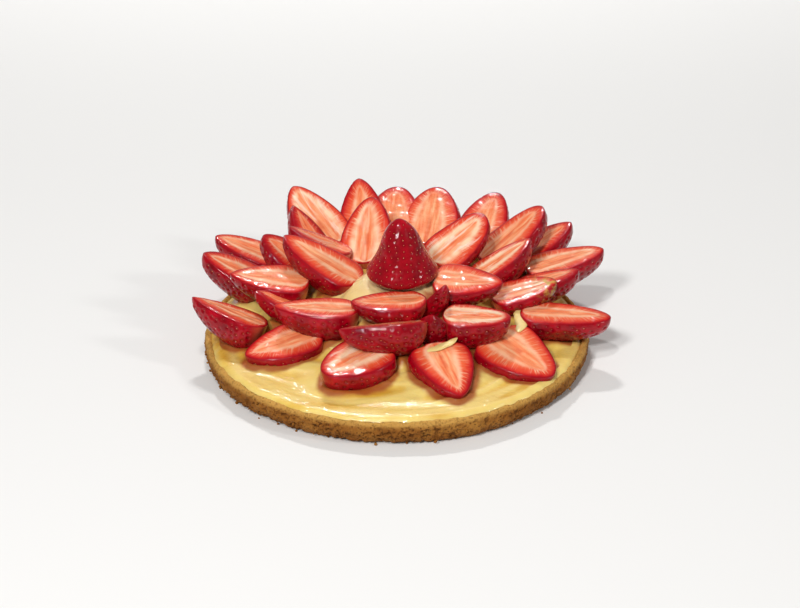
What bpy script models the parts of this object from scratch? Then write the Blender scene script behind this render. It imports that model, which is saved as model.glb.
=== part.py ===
"""A round strawberry tart: a low shortcrust shell filled with custard that rises to the middle.

Halved strawberries stand in three tiers on the custard, tips outward and cut faces up, like the petals
of a water lily, round one whole strawberry that stands on its base with its tip up.  The origin is the
middle of the shell's flat underside and +Z is up.
"""
import math

import bmesh
import bpy
from mathutils import Matrix, Vector

MM = 0.001                 # every size below is in millimetres and is scaled by this as it is used
GAP = 0.3                  # clear space left between two pieces that touch

# Shortcrust shell
SHELL_RADIUS = 98.5
SHELL_HEIGHT = 13.5
FOOT_RADIUS = 92.5         # the flat underside reaches this far
WALL = 4.0
FLOOR = 5.0
SHELL_SEGMENTS = 60
SHELL_WOBBLE = 0.7         # how far the hand-pressed side strays from a true circle
RIM_WAVE = 0.35            # how far the rim's height strays
SIDE_PROFILE = (           # (distance inside the greatest radius, height), from the foot to the rim
    (2.4, 1.2),
    (0.6, 4.5),
    (0.0, 8.5),
    (0.4, SHELL_HEIGHT - 2.4),
    (1.6, SHELL_HEIGHT - 0.5),
    (WALL - 0.8, SHELL_HEIGHT),
    (WALL - 0.6, SHELL_HEIGHT - 0.9),
    (WALL, SHELL_HEIGHT - 2.5),
)

# Custard
CUSTARD_RADIUS = SHELL_RADIUS - WALL - GAP
CUSTARD_EDGE = 11.6        # height where it meets the wall
CUSTARD_RISE = 25.4        # how much higher the middle is
CUSTARD_SLOPE = 1.25       # above 1, the hill is flat near the wall and steeper inside
CUSTARD_RINGS = 12
CUSTARD_SEGMENTS = 48
RING_SPREAD = 1.25         # above 1, the rings lie closer together near the wall
CUSTARD_WAVES = (          # (height, waves round the tart, twist per millimetre of radius)
    (0.5, 4, 0.12),
    (0.3, 7, -0.20),
)

# Strawberry halves
SLICES = 8                 # cross-sections along a half
FACETS = 6                 # facets round its skin
BASE_START = 0.03          # keeps the hulled base from closing to a point
BASE_SOFTNESS = 0.25       # how quickly a half widens from its hulled base
DEPTH_FULLNESS = 0.75      # below 1, a half stays thick nearer its tip than it stays wide

# Whole strawberry in the middle
CENTRE_PLACE = (3.0, 1.0)
CENTRE_BASE = 38.5
CENTRE_HEIGHT = 35.5
CENTRE_RADIUS = 19.8
CENTRE_POINTEDNESS = 0.66
CENTRE_SOFTNESS = 0.06
CENTRE_WAIST = 0.17        # how far its flanks are drawn in half way up
CENTRE_SEGMENTS = 18
CENTRE_RINGS = 9
CENTRE_OVAL = 0.03         # how far its round section is out of true

# One half a row, from the top of the heap down, so that each rests on those below it:
# name, bearing of its tip about the tart's axis, tip's distance from the axis, tip's height,
# swing of its length away from straight outward, rise of its length above level,
# roll about its length, length, width, thickness, pointedness of its tip.
HALVES = (
    ("inner_half_1", -45, 35, 50, -3, 54, 0, 30, 22, 9, 0.80),
    ("inner_half_2", -130, 36, 41.5, -45, 0, 0, 38, 25, 13, 0.55),
    ("inner_half_3", -8, 55, 42, -2, 0, -7, 36, 30, 14, 0.60),
    ("inner_half_4", 45, 67.5, 54.5, -13, 30, -15, 38, 28, 14, 0.48),
    ("inner_half_5", 156, 65, 53, -1, 22, 3, 47, 27, 16, 0.60),
    ("inner_half_6", 143.5, 71, 49.5, 23, 19, -12, 36, 24, 13, 0.60),
    ("middle_half_1", -69, 47, 43, -28, 50, 0, 32, 23, 12, 0.70),
    ("middle_half_2", -30, 66, 36, 25, 0, 0, 34, 26, 17, 0.50),
    ("middle_half_3", -120, 58, 37.5, -49, 0, -24, 44, 27, 15.5, 0.60),
    ("middle_half_4", -159, 66, 38, -26, 0, 0, 43, 24, 18, 0.60),
    ("middle_half_5", 5, 83, 36, 5, 11, -5, 35, 24, 12, 0.50),
    ("middle_half_6", 11, 97, 36, 0, 12, 5, 36, 24, 14, 0.60),
    ("middle_half_7", 25, 78, 48, 2, 24, 5, 36, 23, 16, 0.65),
    ("middle_half_8", 40.5, 104, 51, -8, 30, 3, 45, 29, 16, 0.50),
    ("middle_half_9", 101, 70, 56, -15, 32, 14, 42, 30, 15, 0.55),
    ("middle_half_10", 124, 102, 44, -2, 29, -15, 36, 22, 15, 0.75),
    ("middle_half_11", 151.5, 80.5, 47.5, 18, 33, 8, 32, 26, 14, 0.55),
    ("middle_half_12", 173, 86, 39, 4, 5, 6, 41, 28, 16, 0.65),
    ("middle_half_13", -175, 72, 37, -5, 22, 0, 30, 22, 12, 0.70),
    ("middle_half_14", 84, 63, 32, 0, 8, 0, 38, 27, 14, 0.60),
    ("outer_half_1", -37, 96, 16, -8, -12, -4, 42, 38, 17, 0.60),
    ("outer_half_2", -8, 110, 27, 0, 0, 0, 46, 26, 15, 0.50),
    ("outer_half_3", 22, 119, 36.5, -8, 11, 0, 43, 28, 16, 0.55),
    ("outer_half_4", 38, 121, 38.5, -16, 26, 0, 38, 26, 14, 0.60),
    ("outer_half_5", 62, 119, 42.5, 6, 24, 0, 40, 28, 15, 0.50),
    ("outer_half_6", 78, 110, 44.5, 3, 23, 8, 43, 34, 16, 0.50),
    ("outer_half_7", 89, 112, 42.5, -2, 22, 5, 42, 32, 15, 0.48),
    ("outer_half_8", 100, 112, 48.5, -7, 30, 5, 44, 27, 15, 0.60),
    ("outer_half_9", 119, 118, 46.5, 4, 24, 8, 47, 31, 15, 0.60),
    ("outer_half_10", 147.5, 116, 35.5, 22, 17, 2, 37, 25, 13, 0.60),
    ("outer_half_11", 163, 106, 41, 8, 26, 2, 38, 27, 15, 0.60),
    ("outer_half_12", -177, 105, 34, -25, 12, -14, 42, 26, 17, 0.75),
    ("outer_half_13", -151, 87, 19, -8, -10, 10, 40, 29, 19, 0.60),
    ("outer_half_14", -116.5, 80, 25, -22, -4, 4, 39, 32, 20, 0.50),
    ("outer_half_15", -68.8, 86, 17, 0.8, -19, 2, 37, 32, 15, 0.66),
)

SHARP_EDGE = 50            # degrees between two faces above which their edge is not smoothed

# Linear colour and roughness of each kind of piece
BERRY_LOOK = ((0.42, 0.004, 0.012, 1.0), 0.25)
PASTRY_LOOK = ((0.55, 0.27, 0.08, 1.0), 0.85)
CUSTARD_LOOK = ((0.86, 0.62, 0.20, 1.0), 0.35)


def clear_scene():
    for old in list(bpy.data.objects):
        bpy.data.objects.remove(old, do_unlink=True)


def make_material(name, look):
    colour, roughness = look
    material = bpy.data.materials.new(name)
    material.use_nodes = True
    shader = material.node_tree.nodes["Principled BSDF"]
    shader.inputs["Base Color"].default_value = colour
    shader.inputs["Roughness"].default_value = roughness
    shader.inputs["Metallic"].default_value = 0.0
    return material


def object_from(name, work, look):
    """Makes an object of a bmesh, its faces turned outward, with a material of its own."""
    bmesh.ops.recalc_face_normals(work, faces=work.faces)
    mesh = bpy.data.meshes.new(name)
    work.to_mesh(mesh)
    work.free()
    mesh.materials.append(make_material(name, look))
    mesh.shade_smooth()
    mesh.set_sharp_from_angle(angle=math.radians(SHARP_EDGE))
    item = bpy.data.objects.new(name, mesh)
    bpy.context.scene.collection.objects.link(item)
    return item


def turned(rings, segments, place):
    """A closed body from rings of (radius, height), its first and last radius zero.

    place(radius, height, angle) gives the point, so that a turned shape can be uneven.
    """
    work = bmesh.new()
    angles = [math.tau * step / segments for step in range(segments)]
    bottom = work.verts.new(place(0.0, rings[0][1], 0.0))
    loops = []
    for radius, height in rings[1:-1]:
        loops.append([work.verts.new(place(radius, height, angle)) for angle in angles])
    top = work.verts.new(place(0.0, rings[-1][1], 0.0))
    for step in range(segments):
        after = (step + 1) % segments
        work.faces.new((bottom, loops[0][after], loops[0][step]))
        for low, high in zip(loops, loops[1:]):
            work.faces.new((low[step], low[after], high[after], high[step]))
        work.faces.new((loops[-1][step], loops[-1][after], top))
    return work


def rim_wobble(angle):
    """The slow unevenness of the hand-pressed shell, from -1 to 1."""
    return 0.5 * math.sin(2 * angle + 0.7) + 0.3 * math.sin(5 * angle + 2.1) + 0.2 * math.sin(9 * angle)


def build_shell():
    inner = SHELL_RADIUS - WALL
    profile = [(0.0, 0.0), (FOOT_RADIUS, 0.0)]
    profile += [(SHELL_RADIUS - inset, height) for inset, height in SIDE_PROFILE]
    profile += [(inner, FLOOR), (0.0, FLOOR)]

    def place(radius, height, angle):
        if radius > inner:
            radius += SHELL_WOBBLE * rim_wobble(angle)
        if height > FLOOR:
            height += RIM_WAVE * math.sin(3 * angle + 1.0)
        return Vector((radius * math.cos(angle), radius * math.sin(angle), height)) * MM

    return object_from("shell", turned(profile, SHELL_SEGMENTS, place), PASTRY_LOOK)


def custard_height(radius):
    """Height of the custard's top, a soft hill."""
    inward = max(0.0, 1.0 - radius / CUSTARD_RADIUS)
    return CUSTARD_EDGE + CUSTARD_RISE * inward ** CUSTARD_SLOPE


def build_custard():
    profile = [(0.0, FLOOR + GAP), (CUSTARD_RADIUS, FLOOR + GAP)]
    for ring in range(CUSTARD_RINGS):
        radius = CUSTARD_RADIUS * (1.0 - (ring / CUSTARD_RINGS) ** RING_SPREAD)
        profile.append((radius, custard_height(radius)))
    profile.append((0.0, custard_height(0.0)))

    def place(radius, height, angle):
        if height > CUSTARD_EDGE and radius > 0.0:
            for size, waves, twist in CUSTARD_WAVES:
                height += size * math.sin(waves * angle + twist * radius)
        return Vector((radius * math.cos(angle), radius * math.sin(angle), height)) * MM

    return object_from("custard", turned(profile, CUSTARD_SEGMENTS, place), CUSTARD_LOOK)


def half_width(along, pointedness, softness):
    """Half-width of a strawberry at a share of its length from the base, as a share of its greatest."""
    widest = (softness - pointedness * BASE_START) / (pointedness + softness)
    greatest = (1.0 - widest) ** pointedness * (widest + BASE_START) ** softness
    return (1.0 - along) ** pointedness * (along + BASE_START) ** softness / greatest


def half_mesh(length, width, thickness, pointedness, grow):
    """A strawberry half: base at x = 0, tip at x = length, cut face in z = 0, skin below it."""
    work = bmesh.new()
    loops = []
    for slice_number in range(SLICES):
        along = 0.5 - 0.5 * math.cos(math.pi * slice_number / SLICES)
        share = half_width(along, pointedness, BASE_SOFTNESS)
        across = share * width / 2 + grow
        deep = share ** DEPTH_FULLNESS * thickness + grow
        x = along * (length + 2 * grow) - grow
        loop = []
        for facet in range(FACETS + 1):
            angle = math.pi * facet / FACETS
            loop.append(work.verts.new((x, across * math.cos(angle), grow - (deep + grow) * math.sin(angle))))
        loops.append(loop)
    tip = work.verts.new((length + grow, 0.0, grow))
    for near, far in zip(loops, loops[1:]):
        for facet in range(FACETS):
            work.faces.new((near[facet], near[facet + 1], far[facet + 1], far[facet]))
    for facet in range(FACETS):
        work.faces.new((loops[-1][facet], loops[-1][facet + 1], tip))
    work.faces.new(loops[0])
    left_edge = [loop[0] for loop in loops]
    right_edge = [loop[-1] for loop in loops]
    work.faces.new(left_edge + [tip] + right_edge[::-1])
    return work


def half_place(bearing, reach, height, swing, rise, roll, length):
    """The matrix that lays a half's length, cut face and tip where its row says."""
    outward = math.radians(bearing + swing)
    tip = Vector((reach * math.cos(math.radians(bearing)), reach * math.sin(math.radians(bearing)), height))
    turn = Matrix.Rotation(outward, 4, "Z") @ Matrix.Rotation(-math.radians(rise), 4, "Y")
    turn = turn @ Matrix.Rotation(-math.radians(roll), 4, "X")
    return Matrix.Translation(tip) @ turn @ Matrix.Translation((-length, 0.0, 0.0))


def build_half(row, grow):
    name, bearing, reach, height, swing, rise, roll, length, width, thickness, pointedness = row
    work = half_mesh(length, width, thickness, pointedness, grow)
    work.transform(half_place(bearing, reach, height, swing, rise, roll, length))
    bmesh.ops.scale(work, vec=(MM, MM, MM), verts=work.verts)
    return object_from(name, work, BERRY_LOOK)


def build_centre(grow):
    profile = [(0.0, CENTRE_BASE - grow)]
    for ring in range(CENTRE_RINGS):
        along = (ring + 0.5) / CENTRE_RINGS
        along = 0.5 - 0.5 * math.cos(math.pi * along)
        radius = CENTRE_RADIUS * half_width(along, CENTRE_POINTEDNESS, CENTRE_SOFTNESS)
        radius *= 1.0 - CENTRE_WAIST * math.sin(math.pi * along) ** 2
        profile.append((radius + grow, CENTRE_BASE + along * CENTRE_HEIGHT))
    profile.append((0.0, CENTRE_BASE + CENTRE_HEIGHT + grow))

    def place(radius, height, angle):
        radius *= 1.0 + CENTRE_OVAL * (math.sin(2 * angle + 0.5) + 0.7 * math.sin(3 * angle))
        x = CENTRE_PLACE[0] + radius * math.cos(angle)
        y = CENTRE_PLACE[1] + radius * math.sin(angle)
        return Vector((x, y, height)) * MM

    return object_from("centre_strawberry", turned(profile, CENTRE_SEGMENTS, place), BERRY_LOOK)


def boxes_meet(one, other):
    for axis in range(3):
        one_side = [vertex.co[axis] for vertex in one.data.vertices]
        other_side = [vertex.co[axis] for vertex in other.data.vertices]
        if max(one_side) < min(other_side) or max(other_side) < min(one_side):
            return False
    return True


def cut_away(item, cutters):
    """Cuts from an object every cutter that reaches it."""
    for cutter in cutters:
        if boxes_meet(item, cutter):
            cut = item.modifiers.new("seat", "BOOLEAN")
            cut.operation = "DIFFERENCE"
            cut.solver = "MANIFOLD"     # EXACT loses the custard where two seats overlap
            cut.object = cutter
    evaluated = item.evaluated_get(bpy.context.evaluated_depsgraph_get())
    mesh = bpy.data.meshes.new_from_object(evaluated)
    item.modifiers.clear()
    item.data = mesh
    keep_largest_body(item)


def keep_largest_body(item):
    """Drops the loose crumbs that a cut can leave beside the main body."""
    work = bmesh.new()
    work.from_mesh(item.data)
    unseen = set(work.verts)
    bodies = []
    while unseen:
        body = {unseen.pop()}
        edge_of_body = list(body)
        while edge_of_body:
            vertex = edge_of_body.pop()
            for edge in vertex.link_edges:
                other = edge.other_vert(vertex)
                if other in unseen:
                    unseen.remove(other)
                    body.add(other)
                    edge_of_body.append(other)
        bodies.append(body)
    bodies.sort(key=volume_inside)
    for body in bodies[:-1]:
        bmesh.ops.delete(work, geom=list(body), context="VERTS")
    work.to_mesh(item.data)
    work.free()


def volume_inside(vertices):
    """The volume of one closed body of a mesh, from the cones that its faces make with the origin."""
    faces = {face for vertex in vertices for face in vertex.link_faces}
    return sum(face.calc_area() * face.normal.dot(face.calc_center_median()) for face in faces) / 3


def main():
    clear_scene()
    build_centre(0.0)
    cutters = [build_centre(GAP)]
    for row in HALVES:
        half = build_half(row, 0.0)
        cut_away(half, cutters)
        cutters.append(build_half(row, GAP))
    for filled in (build_shell(), build_custard()):
        cut_away(filled, cutters)
    for cutter in cutters:
        bpy.data.objects.remove(cutter, do_unlink=True)


main()
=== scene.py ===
"""The looks of a round strawberry tart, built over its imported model.

Every half strawberry, the whole one in the middle, the custard and the crust is a detailed piece that
stands for its plain solid.  Sizes are in millimetres and are scaled by MM as a mesh is made.
"""

import math
import random
from collections import namedtuple

import bpy
import numpy as np
from mathutils import Matrix, Vector, noise


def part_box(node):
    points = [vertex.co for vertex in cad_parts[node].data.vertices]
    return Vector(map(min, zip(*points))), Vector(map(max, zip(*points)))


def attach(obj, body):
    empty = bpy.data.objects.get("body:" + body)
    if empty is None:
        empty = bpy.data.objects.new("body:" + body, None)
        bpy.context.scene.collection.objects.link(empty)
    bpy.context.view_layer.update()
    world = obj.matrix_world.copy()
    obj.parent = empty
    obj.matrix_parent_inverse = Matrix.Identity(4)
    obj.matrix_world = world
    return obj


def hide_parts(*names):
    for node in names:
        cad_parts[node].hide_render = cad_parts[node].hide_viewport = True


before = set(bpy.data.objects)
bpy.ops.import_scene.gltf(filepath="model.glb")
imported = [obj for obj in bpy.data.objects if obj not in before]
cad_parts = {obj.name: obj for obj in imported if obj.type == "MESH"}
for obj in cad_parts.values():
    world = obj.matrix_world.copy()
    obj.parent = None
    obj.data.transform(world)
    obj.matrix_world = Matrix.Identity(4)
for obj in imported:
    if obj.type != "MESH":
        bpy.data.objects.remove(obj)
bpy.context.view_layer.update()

MM = 0.001

# Shell and custard, as the solids have them
SHELL_RADIUS = 98.5
SHELL_HEIGHT = 13.5
FOOT_RADIUS = 92.5
WALL = 4.0
SHELL_WOBBLE = 0.7
CUSTARD_EDGE = 11.6
CUSTARD_RISE = 25.4
CUSTARD_SLOPE = 1.25

# Strawberries, as the solids have them
BASE_START = 0.03
BASE_SOFTNESS = 0.25
DEPTH_FULLNESS = 0.75
CENTRE_PLACE = (3.0, 1.0)
CENTRE_BASE = 38.5
CENTRE_HEIGHT = 35.5
CENTRE_RADIUS = 19.8
CENTRE_POINTEDNESS = 0.66
CENTRE_SOFTNESS = 0.06
CENTRE_WAIST = 0.17

# The halves, ring by ring, with the upper ones of each heap first.  Reach is the tip's distance from the
# axis, and height its height.  Bearing, swing, rise and roll are in degrees.  Ripe goes from 0, pale, to 1,
# deep.  Cream is how pale the ring round the core is, and over 1 it adds a milky film that also paints
# white glaze highlights on the cut face.  Core is the core's width as a share of the cut face's.
Half = namedtuple(
    "Half", "name bearing reach height swing rise roll length width thickness pointedness ripe cream core")
INNER = (
    (-45, 35, 50, -3, 54, 0, 30, 22, 9, 0.80, 0.70, 0.9, 0.40),
    (-130, 36, 41.5, -45, 0, 0, 38, 25, 13, 0.55, 0.62, 0.7, 0.42),
    (-8, 55, 42, -2, 0, -7, 36, 30, 14, 0.60, 0.50, 0.6, 0.38),
    (45, 67.5, 54.5, -13, 30, -15, 38, 28, 14, 0.48, 0.38, 1.5, 0.42),
    (156, 65, 53, -1, 22, 3, 47, 27, 16, 0.60, 0.55, 0.9, 0.34),
    (143.5, 71, 49.5, 23, 19, -12, 36, 24, 13, 0.60, 0.85, 0.4, 0.40),
)
MIDDLE = (
    (-69, 47, 43, -28, 50, 0, 32, 23, 12, 0.70, 0.95, 0.2, 0.40),
    (-30, 66, 36, 25, 0, 0, 34, 26, 17, 0.50, 0.62, 1.5, 0.50),
    (-120, 58, 37.5, -49, 0, -24, 44, 27, 15.5, 0.60, 0.80, 0.6, 0.40),
    (-159, 66, 38, -26, 0, 0, 43, 24, 18, 0.60, 0.60, 0.9, 0.36),
    (5, 83, 36, 5, 11, -5, 35, 24, 12, 0.50, 0.55, 0.8, 0.42),
    (11, 97, 36, 0, 12, 5, 36, 24, 14, 0.60, 0.80, 0.5, 0.40),
    (25, 78, 48, 2, 24, 5, 36, 23, 16, 0.65, 0.45, 1.3, 0.40),
    (40.5, 104, 51, -8, 30, 3, 45, 29, 16, 0.50, 0.50, 0.6, 0.44),
    (101, 70, 56, -15, 32, 14, 42, 30, 15, 0.55, 0.40, 1.2, 0.46),
    (124, 102, 44, -2, 29, -15, 36, 22, 15, 0.75, 0.95, 0.3, 0.40),
    (151.5, 80.5, 47.5, 18, 33, 8, 32, 26, 14, 0.55, 0.80, 0.7, 0.42),
    (173, 86, 39, 4, 5, 6, 41, 28, 16, 0.65, 0.42, 1.0, 0.46),
    (-175, 72, 37, -5, 22, 0, 30, 22, 12, 0.70, 0.90, 0.4, 0.40),
    (84, 63, 32, 0, 8, 0, 38, 27, 14, 0.60, 0.60, 0.6, 0.40),
)
OUTER = (
    (-37, 96, 16, -8, -12, -4, 42, 38, 17, 0.60, 0.50, 0.7, 0.44),
    (-8, 110, 27, 0, 0, 0, 46, 26, 15, 0.50, 0.58, 0.8, 0.34),
    (22, 119, 36.5, -8, 11, 0, 43, 28, 16, 0.55, 0.45, 0.9, 0.42),
    (38, 121, 38.5, -16, 26, 0, 38, 26, 14, 0.60, 0.75, 0.5, 0.40),
    (62, 119, 42.5, 6, 24, 0, 40, 28, 15, 0.50, 0.60, 0.6, 0.42),
    (78, 110, 44.5, 3, 23, 8, 43, 34, 16, 0.50, 0.40, 0.7, 0.50),
    (89, 112, 42.5, -2, 22, 5, 42, 32, 15, 0.48, 0.55, 0.4, 0.52),
    (100, 112, 48.5, -7, 30, 5, 44, 27, 15, 0.60, 0.65, 0.8, 0.38),
    (119, 118, 46.5, 4, 24, 8, 47, 31, 15, 0.60, 0.10, 1.4, 0.56),
    (147.5, 116, 35.5, 22, 17, 2, 37, 25, 13, 0.60, 0.45, 0.9, 0.50),
    (163, 106, 41, 8, 26, 2, 38, 27, 15, 0.60, 0.70, 0.9, 0.40),
    (-177, 105, 34, -25, 12, -14, 42, 26, 17, 0.75, 0.62, 0.8, 0.36),
    (-151, 87, 19, -8, -10, 10, 40, 29, 19, 0.60, 0.60, 0.7, 0.44),
    (-116.5, 80, 25, -22, -4, 4, 39, 32, 20, 0.50, 0.55, 1.3, 0.42),
    (-68.8, 86, 17, 0.8, -19, 2, 37, 32, 15, 0.66, 0.66, 0.8, 0.42),
)
HALVES = tuple(
    Half(f"{ring}_half_{count}", *row)
    for ring, rows in (("inner", INNER), ("middle", MIDDLE), ("outer", OUTER))
    for count, row in enumerate(rows, 1)
)

# Share of a half's length over which its base end rounds off, for most halves and for some
BASE_ROUND = 0.18
ROUND_BASES = {"middle_half_3": 0.40, "middle_half_4": 0.30, "outer_half_12": 0.30, "inner_half_2": 0.30}

# How yellow-green a half is from UNRIPE_START, a share of its length, to its tip
UNRIPE_TIPS = {"middle_half_5": 0.8}
UNRIPE_START = 0.62

# Ridges of custard pushed up between the berries: x, y, height and half-width along each
DABS = (
    ((-33, -47, 26.2, 1.2), (-27, -49, 26.6, 2.2), (-20, -51, 25.6, 1.4)),
    ((7, -51, 27.6, 1.2), (14, -53, 27.8, 2.0), (21, -51, 28.2, 2.4), (27, -47, 29.2, 2.2),
     (30, -44, 30.2, 1.4)),
    ((61, -2, 25.8, 1.8), (63, -10, 25.8, 3.2), (63, -19, 25.2, 3.4), (61, -28, 24.6, 2.0)),
)

# How finely the berries are made
SKIN_SLICES = 86
SKIN_FACETS = 64
FACE_RINGS = 18
CENTRE_SLICES = 90
CENTRE_FACETS = 150

# Seeds and the dimples that they sit in
SEED_SPACING = 3.7
SEED_SIZE = (0.58, 0.34, 0.28)  # half length, half width, half thickness
SEED_SIDES = 6
SEED_JITTER = 0.22  # as a share of the spacing
SEED_SINK = 0.80  # how deep a half's seeds sit, as a share of the dimples' depth
CENTRE_SEED_SINK = 0.22
DIMPLE_DEPTH = 0.85
DIMPLE_REACH = 0.85
DIMPLE_LIP = 0.22  # how far the skin stands up round a dimple
TINY_STEP = 0.01  # for slopes: a share of the length, or radians

# How deep inside a berry a face of another is left out, and a seed
HIDDEN_DEPTH = 1.0
LOST_SEED_DEPTH = 0.5
THINNEST = 0.01  # least half-width that a berry has in that test

# Custard and crust, as they show
CUSTARD_REACH = 94.4  # where the custard ends, but for its lap over the front rim
FRONT_BEARING = math.radians(-98)  # where it laps furthest
SMEARED_BEARING = math.radians(-65)  # where its smears are deepest
CRUMBLY_BEARING = math.radians(-125)  # where the crust's side is roughest
CUSTARD_SPOKES = 600
CRUST_SPOKES = 1000
CRUST_RINGS = 40
UNDERSIDE_CELL = 2.0  # of the grid that finds the lowest berry over a point
NO_BERRY = 99.0  # height there where no berry is
CRUMBS = 90

# Camera and studio, in metres but for the lens
CAMERA_DISTANCE = 1.1
CAMERA_ELEVATION = math.radians(28.275)
CAMERA_PITCH = math.radians(27.055)
CAMERA_YAW = math.radians(0.107)
LENS = 95.6
SENSOR_WIDTH = 36.0
WORLD_STRENGTH = 0.22


# ---- colours and material nodes

def srgb(red, green, blue):
    """Linear colour of an ordinary 0 to 255 colour."""
    values = []
    for part in (red, green, blue):
        part /= 255.0
        values.append(part / 12.92 if part <= 0.04045 else ((part + 0.055) / 1.055) ** 2.4)
    return (*values, 1.0)


class Nodes:
    """Short ways to add material nodes."""

    def __init__(self, name):
        self.material = bpy.data.materials.new(name)
        self.material.use_nodes = True
        self.tree = self.material.node_tree
        self.shader = self.tree.nodes["Principled BSDF"]

    def put(self, socket, value):
        if isinstance(value, bpy.types.NodeSocket):
            self.tree.links.new(value, socket)
        else:
            socket.default_value = value

    def set(self, **values):
        for name, value in values.items():
            self.put(self.shader.inputs[name.replace("_", " ")], value)

    def add(self, kind, output, **inputs):
        """One output of a new node, with its inputs set by name."""
        node = self.tree.nodes.new("ShaderNode" + kind)
        for name, value in inputs.items():
            self.put(node.inputs[name], value)
        return node.outputs[output]

    def attribute(self, name):
        node = self.tree.nodes.new("ShaderNodeAttribute")
        node.attribute_name = name
        return node.outputs

    def number(self, name):
        return self.attribute(name)["Fac"]

    def triple(self, name):
        return self.split(self.attribute(name)["Vector"])

    def split(self, vector):
        node = self.tree.nodes.new("ShaderNodeSeparateXYZ")
        self.put(node.inputs[0], vector)
        return node.outputs

    def vector(self, x, y, z):
        return self.add("CombineXYZ", 0, X=x, Y=y, Z=z)

    def place(self):
        return self.add("TexCoord", "Object")

    def math(self, operation, *values):
        node = self.tree.nodes.new("ShaderNodeMath")
        node.operation = operation
        for socket, value in zip(node.inputs, values):
            self.put(socket, value)
        return node.outputs[0]

    def plus(self, one, other):
        return self.math("ADD", one, other)

    def minus(self, one, other):
        return self.math("SUBTRACT", one, other)

    def times(self, one, other):
        return self.math("MULTIPLY", one, other)

    def step(self, value, low, high, bottom=0.0, top=1.0):
        """Smooth change from bottom to top as value goes from low to high."""
        node = self.tree.nodes.new("ShaderNodeMapRange")
        node.interpolation_type = "SMOOTHSTEP"
        for socket, given in zip(node.inputs, (value, low, high, bottom, top)):
            self.put(socket, given)
        return node.outputs[0]

    def noise(self, vector, scale, detail=2.0, roughness=0.5, distortion=0.0):
        look = {"Detail": detail, "Roughness": roughness, "Distortion": distortion}
        return self.add("TexNoise", 0, Vector=vector, Scale=scale, **look)

    def cells(self, vector, scale):
        return self.add("TexVoronoi", "Distance", Vector=vector, Scale=scale)

    def mix(self, share, one, other):
        node = self.tree.nodes.new("ShaderNodeMix")
        node.data_type = "RGBA"
        self.put(node.inputs[0], share)
        self.put(node.inputs[6], one)
        self.put(node.inputs[7], other)
        return node.outputs[2]

    def ramp(self, value, stops):
        node = self.tree.nodes.new("ShaderNodeValToRGB")
        self.put(node.inputs[0], value)
        points = node.color_ramp.elements
        while len(points) < len(stops):
            points.new(0.5)
        for point, (position, colour) in zip(points, stops):
            point.position = position
            point.color = colour
        return node.outputs[0]

    def bump(self, height, strength, distance):
        return self.add("Bump", 0, Height=height, Strength=strength, Distance=distance)


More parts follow.
